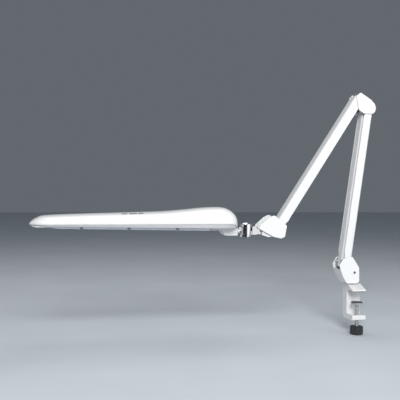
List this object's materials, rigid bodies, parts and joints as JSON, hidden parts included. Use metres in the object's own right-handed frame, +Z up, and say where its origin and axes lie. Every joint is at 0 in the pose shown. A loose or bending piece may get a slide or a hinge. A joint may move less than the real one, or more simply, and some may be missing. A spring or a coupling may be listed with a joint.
{
  "type": "swing arm desk lamp",
  "caption": "Desk-edge clamp lamp: two sprung parallelogram channel arms, cover-plate knuckles and a chromed tilt and swivel neck carry a long flat fluorescent head.",
  "frame": {"origin": "on the base swivel axis, level with the desk top that the upper jaw's pad rests on", "axes": "+Z up along the base swivel axis; the head points to -X; the desk is on the -Y side of the clamp's spine"},
  "size_m": [0.9018, 0.1122, 0.6431],
  "materials": {
    "white_metal": "gloss white powder coat",
    "white_casting": "gloss white paint on a casting",
    "white_plastic": "gloss white moulding",
    "shell_plastic": "gloss white moulded shell",
    "frame_plastic": "satin white moulded frame",
    "diffuser_clear": "prismatic clear acrylic",
    "lamp_glass": "phosphor-coated white glass",
    "chrome": "polished chrome",
    "zinc_steel": "bright zinc plate",
    "dark_steel": "blackened steel",
    "spring_steel": "drawn spring steel",
    "reflector_aluminium": "bright anodised sheet",
    "nylon": "natural nylon",
    "black_plastic": "fine textured black",
    "pad_rubber": "matt black rubber",
    "lead_insulation": "smooth insulation"
  },
  "bodies": {
    "clamp": {"clamp_frame": "white_casting", "jaw_pad": "pad_rubber", "swivel_bush": "nylon", "swivel_grub_screw": "dark_steel"},
    "clamp_foot": {"pressure_foot": "zinc_steel", "foot_pad": "pad_rubber"},
    "clamp_screw": {"clamp_spindle": "zinc_steel", "clamp_knob": "black_plastic"},
    "base": {"base_bracket": "zinc_steel", "swivel_pin": "zinc_steel", "base_pivot_pins": "zinc_steel", "base_link_pin": "zinc_steel", "base_spacer": "zinc_steel", "base_cover_screws": "dark_steel", "base_cover_near": "white_plastic", "base_cover_far": "white_plastic", "cable_gland": "black_plastic"},
    "lower_arm": {"lower_arm_channel": "white_metal", "lower_spring": "spring_steel"},
    "lower_link": {"lower_link_bar": "white_metal"},
    "elbow": {"elbow_plate_near": "zinc_steel", "elbow_plate_far": "zinc_steel", "elbow_pivot_pins": "zinc_steel", "elbow_link_pins": "zinc_steel", "elbow_spacer": "zinc_steel", "elbow_cover_screw": "dark_steel", "elbow_cover_near": "white_plastic", "elbow_cover_far": "white_plastic"},
    "upper_arm": {"upper_arm_channel": "white_metal", "upper_spring": "spring_steel"},
    "upper_link": {"upper_link_bar": "white_metal"},
    "wrist": {"wrist_bracket": "white_casting", "wrist_pivot_pins": "zinc_steel", "wrist_link_pin": "zinc_steel", "wrist_spacer": "zinc_steel", "wrist_cover_screw": "dark_steel", "wrist_cover_near": "white_plastic", "wrist_cover_far": "white_plastic"},
    "fork": {"tilt_fork": "chrome", "tilt_pin": "zinc_steel"},
    "barrel": {"swivel_barrel": "chrome", "barrel_cap": "chrome", "roll_nut": "zinc_steel"},
    "head": {"head_upper_shell": "shell_plastic", "head_lower_frame": "frame_plastic", "diffuser": "diffuser_clear", "fluorescent_tube": "lamp_glass", "lamp_cap": "white_plastic", "lampholder": "white_plastic", "tube_clip": "spring_steel", "reflector": "reflector_aluminium", "ballast_tray": "zinc_steel", "ballast": "zinc_steel", "terminal_block": "nylon", "ballast_leads": "lead_insulation", "switch_case": "black_plastic", "head_screws": "dark_steel", "roll_housing": "frame_plastic", "roll_bush": "nylon"},
    "switch_button": {"switch_button": "black_plastic"}
  },
  "joints": [
    {"name": "clamp_travel", "type": "slide", "parent": "clamp", "child": "clamp_foot", "axis": [0, 0, 1], "range_m": [-0.02, 0.016]},
    {"name": "clamp_turn", "type": "hinge", "parent": "clamp_foot", "child": "clamp_screw", "pos_m": [0, -0.032, -0.034], "axis": [0, 0, 1], "range_deg": [-4810, 3850]},
    {"name": "base_swivel", "type": "hinge", "parent": "clamp", "child": "base", "pos_m": [0, 0, 0], "axis": [0, 0, 1], "range_deg": [-180, 180]},
    {"name": "lower_arm_tilt", "type": "hinge", "parent": "base", "child": "lower_arm", "pos_m": [-0.02, 0, 0.08], "axis": [0, -1, 0], "range_deg": [-8, 45]},
    {"name": "lower_link_follow", "type": "hinge", "parent": "base", "child": "lower_link", "pos_m": [-0.032, 0, 0.076], "axis": [0, -1, 0], "range_deg": [-8, 45]},
    {"name": "elbow_level", "type": "hinge", "parent": "lower_arm", "child": "elbow", "pos_m": [0.03798, 0, 0.48588], "axis": [0, -1, 0], "range_deg": [-45, 8]},
    {"name": "upper_arm_tilt", "type": "hinge", "parent": "elbow", "child": "upper_arm", "pos_m": [0.008, 0, 0.519], "axis": [0, -1, 0], "range_deg": [-55, 13]},
    {"name": "upper_link_follow", "type": "hinge", "parent": "elbow", "child": "upper_link", "pos_m": [0.012, 0, 0.5077], "axis": [0, -1, 0], "range_deg": [-55, 13]},
    {"name": "wrist_level", "type": "hinge", "parent": "upper_arm", "child": "wrist", "pos_m": [-0.2153, 0, 0.17515], "axis": [0, -1, 0], "range_deg": [-13, 55]},
    {"name": "head_tilt", "type": "hinge", "parent": "wrist", "child": "fork", "pos_m": [-0.263, 0, 0.161], "axis": [0, -1, 0], "range_deg": [-35, 60]},
    {"name": "head_swivel", "type": "hinge", "parent": "fork", "child": "barrel", "pos_m": [-0.3005, 0, 0.161], "axis": [0, 0, 1], "range_deg": [-80, 80]},
    {"name": "head_roll", "type": "hinge", "parent": "barrel", "child": "head", "pos_m": [-0.33, 0, 0.161], "axis": [1, 0, 0], "range_deg": [-60, 60]},
    {"name": "switch_press", "type": "slide", "parent": "head", "child": "switch_button", "axis": [0, 0, 1], "range_m": [0, 0.002], "stiffness_N_per_m": 1500, "springref_m": -0.0007}
  ],
  "couplings": [
    {"joint": "clamp_turn", "follows": "clamp_travel", "rad_per_m": 4188.8},
    {"joint": "lower_link_follow", "follows": "lower_arm_tilt", "ratio": 1},
    {"joint": "elbow_level", "follows": "lower_arm_tilt", "ratio": -1},
    {"joint": "upper_link_follow", "follows": "upper_arm_tilt", "ratio": 1},
    {"joint": "wrist_level", "follows": "upper_arm_tilt", "ratio": -1}
  ]
}
